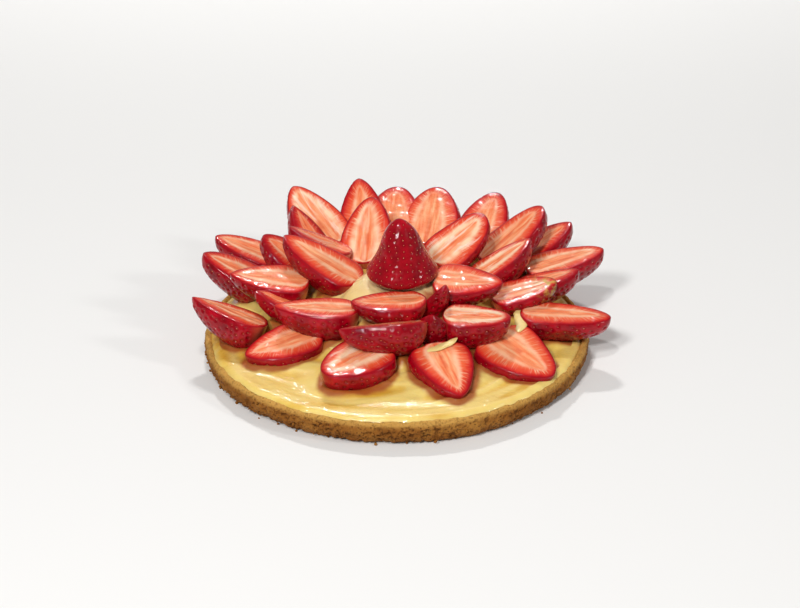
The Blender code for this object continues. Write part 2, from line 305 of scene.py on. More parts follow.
def flesh_material():
    """A strawberry's cut face: red at the skin, pale fibres towards a creamy ring, paler core.

    Its field cut holds the run round the edge, the share of the way out to it and the distance left to it.
    """
    n = Nodes("strawberry_flesh")
    ray, reach, rim = n.triple("cut")
    along, across, seed = n.triple("spot")
    ripe, cream, core = n.triple("look")
    place = n.place()

    blotch = n.noise(place, 260.0, 3.0)
    depth = n.plus(rim, n.times(n.minus(blotch, 0.5), 3.0))
    depth = n.plus(depth, n.times(n.minus(0.6, ripe), 3.5))
    flesh = n.ramp(n.math("DIVIDE", depth, 12.0), (
        (0.0, srgb(166, 8, 22)),
        (0.10, srgb(190, 24, 28)),
        (0.24, srgb(220, 62, 40)),
        (0.52, srgb(236, 104, 62)),
        (1.0, srgb(246, 150, 100)),
    ))

    sway = n.noise(n.vector(n.times(ray, 0.35), n.times(reach, 1.2), seed), 1.0, 2.0)
    turn = n.plus(n.times(ray, 2.0), n.times(sway, 14.0))
    wave = n.math("SINE", turn)
    fine_place = n.vector(n.times(ray, 1.5), n.times(reach, 1.5), seed)
    fine = n.noise(fine_place, 1.0, 2.0, 0.5)
    fibre = n.plus(n.times(wave, 0.34), n.times(n.minus(fine, 0.5), 3.0))
    fibre = n.step(fibre, -0.15, 0.95)
    patch = n.noise(n.vector(n.times(ray, 0.11), 5.0, seed), 1.0, 1.0)
    fibre = n.times(fibre, n.step(patch, 0.32, 0.60, 0.2, 1.0))
    inner = n.minus(reach, core)
    window = n.times(n.step(inner, -0.02, 0.10), n.step(inner, 0.62, 0.14, 0.0, 1.0))
    window = n.times(window, n.step(rim, 0.9, 3.4))
    fibre = n.times(fibre, window)
    colour = n.mix(n.times(fibre, n.step(ripe, 1.1, 0.2, 0.35, 0.9)), flesh, srgb(252, 200, 158))

    wander = n.noise(n.vector(n.times(ray, 0.16), 0.0, seed), 1.0, 2.0)
    wander = n.times(n.minus(wander, 0.5), 0.12)
    from_ring = n.math("ABSOLUTE", n.minus(inner, wander))
    ring = n.step(from_ring, n.step(cream, 0.2, 1.4, 0.11, 0.26), 0.0)
    ring = n.times(ring, n.step(along, 1.0, 0.80))
    broken = n.noise(n.vector(n.times(ray, 0.13), 9.0, seed), 1.0, 2.0)
    ring = n.times(ring, n.step(broken, 0.30, 0.58, 0.45, 1.0))

    streak = n.noise(n.vector(n.times(along, 3.0), n.times(across, 9.0), seed), 1.0, 2.0)
    inside = n.step(inner, 0.05, -0.10)
    heart = n.ramp(streak, (
        (0.30, srgb(234, 106, 62)),
        (0.50, srgb(244, 146, 98)),
        (0.72, srgb(251, 192, 146)),
    ))
    colour = n.mix(n.times(inside, 0.75), colour, heart)
    pale = n.math("MINIMUM", n.times(n.times(ring, cream), 0.74), 0.9)
    colour = n.mix(pale, colour, srgb(253, 216, 178))
    # A milky film of glaze, whose near-white streaks are also painted glaze highlights.
    film_place = n.vector(n.times(along, 2.2), n.times(across, 4.5), seed)
    film = n.step(n.noise(film_place, 1.0, 4.0, 0.6, 0.8), 0.50, 0.66)
    film = n.times(film, n.step(cream, 1.0, 1.5, 0.0, 0.62))
    film = n.times(film, n.step(rim, 1.2, 3.5))
    colour = n.mix(film, colour, srgb(255, 232, 212))
    slit = n.times(n.step(n.math("ABSOLUTE", across), 0.11, 0.03), n.step(along, 0.72, 0.5))
    slit = n.times(slit, n.step(n.noise(n.vector(along, seed, 0.0), 4.0), 0.45, 0.6))
    colour = n.mix(n.times(slit, 0.5), colour, srgb(214, 84, 52))
    colour = n.mix(n.step(rim, 0.95, 0.25, 0.0, 0.92), colour, srgb(152, 4, 22))
    colour = n.mix(unripe_share(n, place), colour, srgb(204, 176, 84))
    n.set(Base_Color=colour)

    relief = n.plus(n.times(fibre, 0.5), n.times(ring, -0.6))
    relief = n.plus(relief, n.times(n.noise(place, 900.0, 3.0), 0.7))
    n.set(Normal=n.bump(relief, 0.5, 0.0004))
    pool = n.noise(place, 150.0, 4.0, 0.55, 0.6)
    n.set(Coat_Normal=n.bump(n.plus(pool, n.times(relief, 0.22)), 0.32, 0.0011))
    n.set(Roughness=n.step(pool, 0.3, 0.7, 0.42, 0.24), Specular_IOR_Level=0.08)
    n.set(Subsurface_Weight=0.15, Subsurface_Radius=(1.0, 0.35, 0.18), Subsurface_Scale=0.002)
    n.set(Coat_Weight=0.9, Coat_Roughness=0.05, Coat_IOR=1.32)
    return n.material


def unripe_share(n, place):
    """How yellow-green the flesh or skin is: patchy, and only where a berry's own field asks for it."""
    patch = n.step(n.noise(place, 330.0, 3.0, 0.6), 0.42, 0.62)
    return n.times(patch, n.number("unripe"))


def skin_material():
    """Glossy red skin, deeper between patches, with painted shade in its dimples, paler at the hulled base
    end.
    """
    n = Nodes("strawberry_skin")
    along, across, seed = n.triple("spot")
    dimple = n.number("dimple")
    place = n.place()
    blotch = n.noise(place, 120.0, 4.0)
    colour = n.ramp(blotch, (
        (0.28, srgb(118, 0, 14)),
        (0.50, srgb(152, 0, 20)),
        (0.74, srgb(182, 4, 28)),
    ))
    # Painted shade in the dimples round the seeds.
    colour = n.mix(n.times(dimple, 0.5), colour, srgb(100, 0, 16))
    colour = n.mix(n.step(along, 0.12, 0.0, 0.0, 0.6), colour, srgb(218, 110, 74))
    colour = n.mix(unripe_share(n, place), colour, srgb(176, 150, 58))
    n.set(Base_Color=colour)
    fine = n.noise(place, 1100.0, 2.0)
    n.set(Normal=n.bump(fine, 0.25, 0.0002))
    film = n.noise(place, 320.0, 4.0, 0.55, 0.4)
    n.set(Coat_Normal=n.bump(film, 0.25, 0.0008))
    n.set(Roughness=n.step(film, 0.3, 0.7, 0.38, 0.24), Specular_IOR_Level=0.05)
    n.set(Subsurface_Weight=0.12, Subsurface_Radius=(1.0, 0.2, 0.15), Subsurface_Scale=0.002)
    n.set(Coat_Weight=1.0, Coat_Roughness=0.05, Coat_IOR=1.33)
    return n.material


def seed_material(name, dark, middle, pale):
    """Hard little seeds, each somewhere between a dark and a pale colour."""
    n = Nodes(name)
    place = n.place()
    colour = n.ramp(n.noise(place, 330.0, 2.0), ((0.35, dark), (0.52, middle), (0.70, pale)))
    n.set(Base_Color=colour, Roughness=0.35, Coat_Weight=0.6, Coat_Roughness=0.1)
    n.set(Normal=n.bump(n.noise(place, 2500.0, 2.0), 0.3, 0.0001))
    return n.material


def custard_material():
    """Set custard under a clear glaze: paler on its ridges as painted highlight, darker in its troughs as
    painted shade, milky in the middle with painted light over the whole berry's shade, and stained by berry
    juice with painted shadow.
    """
    n = Nodes("custard_glazed")
    ridge = n.number("ridge")
    stain_and_shadow = n.number("stain_and_shadow")
    milk_and_painted_light = n.number("milk_and_painted_light")
    place = n.place()
    swirl = n.noise(place, 45.0, 4.0, 0.55, 0.8)
    colour = n.ramp(swirl, (
        (0.30, srgb(206, 150, 38)),
        (0.50, srgb(226, 182, 70)),
        (0.70, srgb(240, 208, 110)),
    ))
    # Painted highlight on the smeared ridges and painted shade in the troughs between them.
    colour = n.mix(n.step(ridge, -0.2, 0.8, 0.0, 0.75), colour, srgb(243, 216, 130))
    colour = n.mix(n.step(ridge, -0.2, -1.0, 0.0, 0.65), colour, srgb(202, 140, 34))
    colour = n.mix(n.times(milk_and_painted_light, 0.8), colour, srgb(252, 222, 168))
    # Reddish-brown juice stains with painted shadow under and in front of the berries.
    patch = n.minus(n.noise(place, 150.0, 3.0), 0.5)
    blur = n.plus(stain_and_shadow, n.times(patch, 0.35))
    colour = n.mix(n.step(blur, 0.12, 0.62, 0.0, 0.9), colour, srgb(164, 78, 34))
    n.set(Base_Color=colour)
    fine = n.noise(place, 420.0, 4.0, 0.55)
    n.set(Normal=n.bump(fine, 0.35, 0.0006))
    wet = n.noise(place, 170.0, 4.0, 0.55, 0.6)
    wet = n.plus(wet, n.times(n.noise(place, 620.0, 3.0), 0.22))
    n.set(Coat_Normal=n.bump(wet, 0.5, 0.0016))
    n.set(Roughness=n.step(swirl, 0.3, 0.7, 0.46, 0.32), Specular_IOR_Level=0.3)
    n.set(Subsurface_Weight=0.2, Subsurface_Radius=(1.0, 0.75, 0.35), Subsurface_Scale=0.003)
    n.set(Coat_Weight=1.0, Coat_Roughness=0.06, Coat_IOR=1.45)
    return n.material


def crust_material():
    """Baked shortcrust: golden, browner on its foot, darker in its pores as painted shade, a paler band under
    the rim.
    """
    n = Nodes("crust_baked")
    pit = n.number("pit")
    height = n.number("height")
    rough = n.number("rough")
    place = n.place()
    bake = n.noise(place, 60.0, 5.0, 0.6)
    colour = n.ramp(bake, (
        (0.30, srgb(120, 70, 18)),
        (0.50, srgb(148, 92, 30)),
        (0.70, srgb(174, 120, 48)),
    ))
    colour = n.mix(n.step(height, 8.5, 12.5, 0.0, 0.85), colour, srgb(210, 160, 80))
    colour = n.mix(n.step(height, 5.0, 0.5, 0.0, 0.5), colour, srgb(120, 70, 22))
    grain = n.noise(place, 800.0, 5.0, 0.7)
    colour = n.mix(n.step(grain, 0.5, 0.32, 0.0, 0.45), colour, srgb(112, 64, 18))
    # Painted shade in the pores, and deepest in the pits pushed into the side.
    warp = n.noise(place, 300.0, 2.0)
    solid = n.step(n.plus(n.cells(place, 760.0), n.times(warp, 0.5)), 0.38, 0.62)
    hole = n.times(n.minus(1.0, solid), n.step(rough, 0.1, 0.7, 0.15, 0.75))
    colour = n.mix(hole, colour, srgb(104, 58, 16))
    colour = n.mix(n.times(pit, 0.75), colour, srgb(80, 42, 10))
    spot = n.step(n.noise(place, 170.0, 3.0, 0.6), 0.66, 0.72, 0.0, 0.7)
    colour = n.mix(spot, colour, srgb(132, 70, 22))
    n.set(Base_Color=colour)
    n.set(Normal=n.bump(n.plus(grain, n.times(solid, 0.8)), 0.8, 0.0008))
    n.set(Roughness=n.step(bake, 0.3, 0.7, 0.85, 0.62), Specular_IOR_Level=0.2)
    n.set(Subsurface_Weight=0.08, Subsurface_Radius=(1.0, 0.6, 0.3), Subsurface_Scale=0.002)
    return n.material


def floor_material():
    n = Nodes("floor_pale")
    n.set(Base_Color=srgb(236, 235, 233), Roughness=0.75, Specular_IOR_Level=0.2)
    return n.material


# ---- meshes

def ripple(points, size, seed):
    """Smooth noise, about -1 to 1, with lumps of about the given size in millimetres."""
    shift = Vector((seed * 17.31, seed * 5.17, seed * 9.73))
    return np.array([noise.noise(Vector(point) / size + shift) for point in points])


def soften(values):
    """Draw every row but the first and the last towards its neighbours."""
    values[1:-1] = 0.5 * values[1:-1] + 0.25 * (values[2:] + values[:-2])


def unit(vectors):
    return vectors / np.maximum(np.linalg.norm(vectors, axis=-1, keepdims=True), 1e-9)


def grid_faces(rows, columns, start=0, loop=False):
    """Quads of a grid of points stored row by row."""
    faces = []
    steps = columns if loop else columns - 1
    for row in range(rows - 1):
        for column in range(steps):
            after = (column + 1) % columns
            here = start + row * columns
            above = here + columns
            faces.append((here + column, here + after, above + after, above + column))
    return faces


def make_piece(name, points, faces, materials, fields=None, face_materials=None):
    mesh = bpy.data.meshes.new(name)
    mesh.from_pydata((np.asarray(points) * MM).tolist(), [], faces)
    for material in materials:
        mesh.materials.append(material)
    if face_materials is not None:
        mesh.polygons.foreach_set("material_index", np.asarray(face_materials, dtype=np.int32))
    for field, values in (fields or {}).items():
        values = np.asarray(values, dtype=np.float32)
        if values.ndim == 2:
            mesh.attributes.new(field, "FLOAT_VECTOR", "POINT").data.foreach_set("vector", values.ravel())
        else:
            mesh.attributes.new(field, "FLOAT", "POINT").data.foreach_set("value", values)
    mesh.shade_smooth()
    piece = bpy.data.objects.new(name, mesh)
    bpy.context.scene.collection.objects.link(piece)
    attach(piece, "root")
    return piece


def half_width(along, pointedness, softness):
    """Half-width of a strawberry at a share of its length from the base, as a share of its greatest."""
    widest = (softness - pointedness * BASE_START) / (pointedness + softness)
    greatest = (1.0 - widest) ** pointedness * (widest + BASE_START) ** softness
    return (1.0 - along) ** pointedness * (along + BASE_START) ** softness / greatest


def centre_width(along):
    """The whole strawberry's radius at a share of its height, as a share of its greatest."""
    share = half_width(along, CENTRE_POINTEDNESS, CENTRE_SOFTNESS)
    return share * (1.0 - CENTRE_WAIST * np.sin(np.pi * along) ** 2)


def base_rounding(along, share=BASE_ROUND):
    """How far the base end is rounded off at a share of the length: 0 at its very end, 1 past the share."""
    left = 1.0 - np.minimum(along / share, 1.0)
    return np.maximum(0.0, 1.0 - left ** 2.4) ** (1 / 2.4)


def box_middle(node):
    """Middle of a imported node's box, in millimetres."""
    low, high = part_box(node)
    return np.array((low + high) / 2) / MM


def half_place(half):
    """Where a half lies: its tip at a bearing, reach and height, and the rest turned about that tip."""
    bearing = math.radians(half.bearing)
    tip = Vector((half.reach * math.cos(bearing), half.reach * math.sin(bearing), half.height))
    turn = Matrix.Rotation(math.radians(half.bearing + half.swing), 4, "Z")
    turn = turn @ Matrix.Rotation(-math.radians(half.rise), 4, "Y")
    turn = turn @ Matrix.Rotation(-math.radians(half.roll), 4, "X")
    return Matrix.Translation(tip) @ turn @ Matrix.Translation((-half.length, 0.0, 0.0))


def moved(points, matrix):
    matrix = np.array(matrix)
    return points @ matrix[:3, :3].T + matrix[:3, 3]


def grid_normals(grid):
    """Unit normals of a grid of points, of shape (rows, columns, 3)."""
    return unit(np.cross(np.gradient(grid, axis=0), np.gradient(grid, axis=1)))


def seed_places(length, girth_at, full_turn, chance):
    """Rows of seeds along a berry, staggered, as (share of length, share of girth)."""
    places = []
    rows = max(4, round(length * 0.92 / (SEED_SPACING * 0.86)))
    for row in range(rows):
        along = 0.07 + 0.90 * (row + 0.5) / rows
        count = max(3, round(girth_at(along) / SEED_SPACING))
        for step in range(count):
            turn = (step + 0.5 * (row % 2) + chance.uniform(-SEED_JITTER, SEED_JITTER)) / count
            if full_turn or 0.02 < turn < 0.98:
                places.append((along + chance.uniform(-SEED_JITTER, SEED_JITTER) / rows, turn % 1.0))
    return np.array(places)


def seed_frames(skin, alongs, turns, middle):
    """Where seeds sit on a skin, and at each the way out and the way towards the tip."""
    places = skin(alongs, turns)
    ahead = skin(alongs + TINY_STEP, turns) - places
    over = skin(alongs, turns + TINY_STEP) - places
    out = unit(np.cross(over, ahead))
    out *= np.sign(np.sum(out * (places - middle), axis=1, keepdims=True))
    return places, out, ahead


def dimple_depths(points, seeds):
    """How deep each point lies in the nearest seed's dimple, 0 to 1, and how high on a dimple's lip."""
    nearest = np.full(len(points), np.inf)
    for place in seeds:
        nearest = np.minimum(nearest, np.linalg.norm(points - place, axis=1))
    depth = np.exp(-((nearest / DIMPLE_REACH) ** 2))
    lip = np.exp(-(((nearest - 1.75 * DIMPLE_REACH) / (0.55 * DIMPLE_REACH)) ** 2))
    return depth, lip


class SeedHeap:
    """Gathers every berry's seeds for one mesh."""

    def __init__(self):
        self.points = []
        self.faces = []
        ring = []
        radius = 0.87
        for height in (0.5, -0.5):
            for step in range(SEED_SIDES):
                angle = math.tau * step / SEED_SIDES
                ring.append((radius * math.cos(angle), radius * math.sin(angle), height))
        self.shape = np.array([(0.0, 0.0, 1.0)] + ring + [(0.0, 0.0, -1.0)]) * np.array(SEED_SIZE)
        self.shape_faces = []
        upper = 1
        lower = upper + SEED_SIDES
        bottom = lower + SEED_SIDES
        for step in range(SEED_SIDES):
            after = (step + 1) % SEED_SIDES
            self.shape_faces.append((0, upper + step, upper + after))
            self.shape_faces.append((upper + step, lower + step, lower + after, upper + after))
            self.shape_faces.append((lower + step, bottom, lower + after))

    def add(self, place, normal, forward, size):
        """One seed, flat on the skin and pointing forward."""
        side = np.cross(normal, forward)
        side /= max(np.linalg.norm(side), 1e-9)
        ahead = np.cross(side, normal)
        axes = np.stack((ahead, side, normal))
        start = len(self.points) * len(self.shape)
        self.points.append(self.shape * size @ axes + place)
        self.faces += [tuple(start + corner for corner in face) for face in self.shape_faces]

    def make(self, name, material):
        make_piece(name, np.concatenate(self.points), self.faces, [material])


def inside_half(points, half, margin):
    """Which points lie deeper than a margin inside a half's solid."""
    local = moved(points, half_place(half).inverted())
    along = np.clip(local[:, 0] / half.length, 0.0, 1.0)
    share = half_width(along, half.pointedness, BASE_SOFTNESS)
    across = np.maximum(share * half.width / 2 - margin, THINNEST)
    deep = np.maximum(share ** DEPTH_FULLNESS * half.thickness - margin, THINNEST)
    level = (local[:, 1] / across) ** 2 + (local[:, 2] / deep) ** 2 < 1.0
    return level & (local[:, 2] < -margin) & (local[:, 0] > margin) & (local[:, 0] < half.length - margin)


def inside_centre(points, margin):
    """Which points lie deeper than a margin inside the whole strawberry."""
    along = (points[:, 2] - CENTRE_BASE) / CENTRE_HEIGHT
    share = centre_width(np.clip(along, 0.0, 1.0))
    away = np.hypot(points[:, 0] - CENTRE_PLACE[0], points[:, 1] - CENTRE_PLACE[1])
    return (away < share * CENTRE_RADIUS * 0.97 - margin) & (along > 0.02) & (along < 0.98)


def buried(points, above, margin):
    """Which points lie deeper than a margin inside the whole strawberry or a half that lies above."""
    inside = inside_centre(points, margin)
    for half in above:
        inside |= inside_half(points, half, margin)
    return inside


def half_skin(half, chance):
    """A half's skin as a function of share of length and angle round it, and its core's sideways bend."""
    bend = half.width * chance.uniform(-0.04, 0.04)
    skew = chance.uniform(-0.05, 0.05)
    lump = chance.uniform(0.0, 50.0)
    round_share = ROUND_BASES.get(half.name, BASE_ROUND)

    def skin(along, angle):
        share = half_width(along, half.pointedness, BASE_SOFTNESS) * base_rounding(along, round_share)
        lumps = 0.022 * np.sin(7.0 * along + lump)
        share = share * (1.0 + lumps + 0.018 * np.sin(3.0 * angle + 5.0 * along + lump))
        side = (1.0 + skew * np.cos(angle)) * (1.0 + 0.04 * np.abs(np.sin(2.0 * angle)))
        side = side * (1.0 - 0.055 * np.exp(-((np.sin(angle) / 0.13) ** 2)))
        y = share * side * half.width / 2 * np.cos(angle) + bend * np.sin(np.pi * along)
        z = -share ** DEPTH_FULLNESS * half.thickness * np.sin(angle)
        return np.stack((half.length * along + 0.0 * angle, y, z), axis=-1)

    return skin, bend


def dimpled(grid, angle_grid, seeds, core_height):
    """A half's skin pushed in at its seeds, less so by the cut, and how deep each point is in a dimple."""
    normals = grid_normals(grid)
    core = np.stack((grid[..., 0], 0.0 * grid[..., 0], core_height + 0.0 * grid[..., 0]), axis=-1)
    if np.sum((grid - core) * normals) < 0:
        normals = -normals
    points = grid.reshape(-1, 3)
    depth, lip = dimple_depths(points, seeds)
    angle = angle_grid.reshape(-1)
    by_cut = np.exp(-((angle / 0.10) ** 2)) + np.exp(-(((np.pi - angle) / 0.10) ** 2))
    push = (DIMPLE_DEPTH * depth - DIMPLE_LIP * lip) * (1.0 - 0.6 * np.minimum(by_cut, 1.0))
    return points - normals.reshape(-1, 3) * push[:, None], depth


def cut_face(half, number, edge, edge_along, bend):
    """Rings of points from a line along the core out towards the skin's edge, without the edge itself.

    The second result is what the flesh's material reads as cut.
    """
    run = np.concatenate(([0.0], np.cumsum(np.linalg.norm(np.diff(edge, axis=0), axis=1))))
    spine = np.stack((
        half.length * (0.05 + 0.74 * edge_along ** 1.15),
        bend * np.sin(np.pi * edge_along * 0.8),
        np.zeros(len(edge)),
    ), axis=-1)
    rings = np.linspace(0.0, 1.0, FACE_RINGS) ** 0.85
    points = spine[None] + (edge - spine)[None] * rings[:, None, None]
    rim = np.linalg.norm(edge - spine, axis=1)[None] * (1.0 - rings[:, None])
    swell = 0.50 * (1.0 - np.exp(-rim / 0.9)) + 0.20 * np.sin(np.pi * rings[:, None])
    flat = points.reshape(-1, 3)
    wave = 0.35 * ripple(flat, 7.0, number) + 0.15 * ripple(flat, 2.6, number + 40)
    points[..., 2] += swell + wave.reshape(rim.shape) * (1.0 - np.exp(-rim / 1.5))
    cut = np.stack((
        np.broadcast_to(run, rim.shape),
        np.broadcast_to(rings[:, None], rim.shape),
        rim,
    ), axis=-1)
    return points[:-1].reshape(-1, 3), cut[:-1].reshape(-1, 3)


def half_faces(skin_count, face_count):
    """The skin's quads and the cut face's, whose last ring is the skin's own edge."""
    skin_faces = [face[::-1] for face in grid_faces(SKIN_SLICES, SKIN_FACETS)]
    corners = list(range(skin_count + face_count))
    corners += [SKIN_FACETS * row for row in range(SKIN_SLICES)]
    corners += [SKIN_FACETS * row - 1 for row in range(SKIN_SLICES, 0, -1)]
    cut_faces = [tuple(corners[corner] for corner in face)
                 for face in grid_faces(FACE_RINGS, 2 * SKIN_SLICES, skin_count)]
    return skin_faces, cut_faces


def build_half(half, above, seeds, materials, number):
    """One strawberry half, without what lies inside the berries above it."""
    chance = random.Random(number)
    skin, bend = half_skin(half, chance)
    core_height = -0.2 * half.thickness

    def girth(along):
        share = float(half_width(along, half.pointedness, BASE_SOFTNESS))
        return math.pi * share * math.hypot(half.width / 2, half.thickness) / math.sqrt(2)

    spots = seed_places(half.length, girth, False, chance)
    middle = np.array([half.length / 2, 0.0, core_height])
    places, out, ahead = seed_frames(skin, spots[:, 0], spots[:, 1] * np.pi, middle)

    alongs = 0.5 - 0.5 * np.cos(np.pi * np.linspace(0.0, 1.0, SKIN_SLICES))
    angles = np.linspace(0.0, np.pi, SKIN_FACETS)
    along_grid, angle_grid = np.meshgrid(alongs, angles, indexing="ij")
    skin_points, depth = dimpled(skin(along_grid, angle_grid), angle_grid, places, core_height)
    skin_grid = skin_points.reshape(SKIN_SLICES, SKIN_FACETS, 3)
    edge = np.concatenate((skin_grid[:, 0], skin_grid[::-1, -1]))
    face_points, face_cut = cut_face(half, number, edge, np.concatenate((alongs, alongs[::-1])), bend)

    # The half's box comes to lie on its solid's box.
    local = np.concatenate((skin_points, face_points))
    matrix = half_place(half)
    world = moved(local, matrix)
    nudge = box_middle(half.name) - (world.min(axis=0) + world.max(axis=0)) / 2
    world = world + nudge
    hidden = buried(world, above, HIDDEN_DEPTH)
    faces = []
    kinds = []
    for kind, group in enumerate(half_faces(len(skin_points), len(face_points))):
        seen = [face for face in group if not all(hidden[corner] for corner in face)]
        faces += seen
        kinds += [kind] * len(seen)

    pattern = number * 3.7
    skin_spot = np.stack((along_grid, angle_grid, np.full(along_grid.shape, pattern)), axis=-1).reshape(-1, 3)
    face_pattern = np.full(len(face_points), pattern)
    face_spot = (face_points[:, 0] / half.length, face_points[:, 1] / (half.width / 2), face_pattern)
    tipward = np.clip((local[:, 0] / half.length - UNRIPE_START) / 0.25, 0.0, 1.0)
    fields = {
        "cut": np.concatenate((np.tile((0.0, 1.0, 0.0), (len(skin_points), 1)), face_cut)),
        "spot": np.concatenate((skin_spot, np.stack(face_spot, axis=-1))),
        "look": np.tile((half.ripe, half.cream, half.core), (len(local), 1)),
        "dimple": np.concatenate((depth, np.zeros(len(face_points)))),
        "unripe": UNRIPE_TIPS.get(half.name, 0.0) * tipward,
    }
    piece = make_piece(half.name + "_fruit", world, faces, materials, fields, kinds)
    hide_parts(half.name)

    turn = np.array(matrix)[:3, :3]
    seed_world = moved(places - out * (DIMPLE_DEPTH * SEED_SINK), matrix) + nudge
    lost_seeds = buried(seed_world, above, LOST_SEED_DEPTH)
    for place, normal, forward, lost in zip(seed_world, out @ turn.T, ahead @ turn.T, lost_seeds):
        if not lost:
            seeds.add(place, normal, forward, chance.uniform(0.70, 0.95))
    return world[~hidden]


def build_centre(seeds, materials):
    """The whole strawberry that stands in the middle."""
    chance = random.Random(99)
    alongs = 0.5 - 0.5 * np.cos(np.pi * np.linspace(0.0, 1.0, CENTRE_SLICES))
    angles = np.linspace(0.0, math.tau, CENTRE_FACETS, endpoint=False)

    def skin(along, angle):
        share = centre_width(along) * base_rounding(along * 0.7)
        radius = CENTRE_RADIUS * share * (1.0 + 0.03 * np.sin(2 * angle + 0.5) + 0.02 * np.sin(3 * angle))
        radius = radius * (1.0 + 0.015 * np.sin(9.0 * along + 2.0 * angle))
        lean = 1.6 * along ** 2
        return np.stack((
            CENTRE_PLACE[0] + radius * np.cos(angle) - lean,
            CENTRE_PLACE[1] + radius * np.sin(angle),
            CENTRE_BASE + CENTRE_HEIGHT * along + 0.0 * angle,
        ), axis=-1)

    along_grid, angle_grid = np.meshgrid(alongs, angles, indexing="ij")
    points = skin(along_grid, angle_grid).reshape(-1, 3)

    def girth(along):
        return math.tau * CENTRE_RADIUS * float(centre_width(along))

    spots = seed_places(CENTRE_HEIGHT * 1.1, girth, True, chance)
    middle = np.array([*CENTRE_PLACE, CENTRE_BASE + 8.0])
    places, out, ahead = seed_frames(skin, spots[:, 0], spots[:, 1] * math.tau, middle)
    depth, lip = dimple_depths(points, places)
    points = points - unit(points - middle) * (0.3 * DIMPLE_DEPTH * depth - 0.2 * DIMPLE_LIP * lip)[:, None]
    fields = {
        "spot": np.stack((0.3 + 0.0 * along_grid, angle_grid, 0.0 * along_grid), axis=-1).reshape(-1, 3),
        "dimple": depth,
    }
    faces = grid_faces(CENTRE_SLICES, CENTRE_FACETS, loop=True)
    piece = make_piece("centre_fruit", points, faces, materials[:1], fields)
    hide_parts("centre_strawberry")
    for place, normal, forward in zip(places - out * (DIMPLE_DEPTH * CENTRE_SEED_SINK), out, ahead):
        seeds.add(place, normal, forward, chance.uniform(0.5, 0.7))


def custard_height(radius):
    """The custard solid's height at a distance from the axis."""
    inward = np.maximum(0.0, 1.0 - radius / (SHELL_RADIUS - WALL))
    return CUSTARD_EDGE + CUSTARD_RISE * inward ** CUSTARD_SLOPE


def front_share(bearing):
    """1 where the custard laps furthest over the rim, at the front, and 0.35 round the sides and back."""
    return 0.35 + 0.65 * np.clip((np.cos(bearing - FRONT_BEARING) - 0.15) / 0.35, 0.0, 1.0)


def berry_marks(undersides, x, y, height, shape):
    """How far the custard rises to the berries that are close above it, and where they leave juice stains and
    painted shadow on it.
    """
    lowest = {}
    for point in undersides:
        key = (round(point[0] / UNDERSIDE_CELL), round(point[1] / UNDERSIDE_CELL))
        if key not in lowest or point[2] < lowest[key]:
            lowest[key] = point[2]
    keys = [(round(px / UNDERSIDE_CELL), round(py / UNDERSIDE_CELL)) for px, py in zip(x, y)]
    gap = np.array([lowest.get(key, NO_BERRY) for key in keys]) - height
    # Painted shadow and juice stains under the berries that lie close above.
    stain_and_shadow = np.where(gap < 3.0, 1.0, 0.0).reshape(shape)
    lift = np.where((gap > -2.0) & (gap < 6.0), gap + 0.8, 0.0).reshape(shape)
    lift = np.maximum(lift, 0.0)
    for field in (lift, stain_and_shadow):
        for _ in range(14):
            field[:] = 0.5 * field + 0.25 * (np.roll(field, 1, 1) + np.roll(field, -1, 1))
            soften(field)

    # The juice stains and painted shadow run a little way down the hill, the way the shadows fall, and stop
    # short of the rim.
    stain_and_shadow[3:-6] = stain_and_shadow[:-9].copy()
    stain_and_shadow[-6:] = 0.0
    return lift.ravel(), stain_and_shadow.ravel()


def smears(x, y, radius, bearing):
    """Spatula marks that run round the tart and break into short ridges: how ridged, and how high."""
    flat = np.stack((x, y, 0.0 * x), axis=-1)
    wander = radius + 9.0 * ripple(flat, 40.0, 31)
    around = bearing * 0.5 * (radius + 80.0)
    ridge = 1.0 - 2.4 * np.abs(ripple(np.stack((around / 3.0, wander, 0.0 * radius), axis=-1), 11.0, 3))
    swell = ripple(np.stack((around / 2.2, wander, 0.0 * radius), axis=-1), 7.0, 5)
    broad = ripple(flat, 24.0, 8)
    toward_right = np.clip(np.cos(bearing - SMEARED_BEARING), 0.0, 1.0) ** 2
    strength = np.clip(0.6 + 0.8 * broad + 0.9 * toward_right, 0.15, 1.9)
    fade = np.clip((97.0 - radius) / 4.0, 0.0, 1.0)
    # The ridge value also sets the custard's painted highlight and painted shade.
    return ridge * strength, fade * (0.55 * strength * ridge + 0.55 * swell + 0.9 * broad)


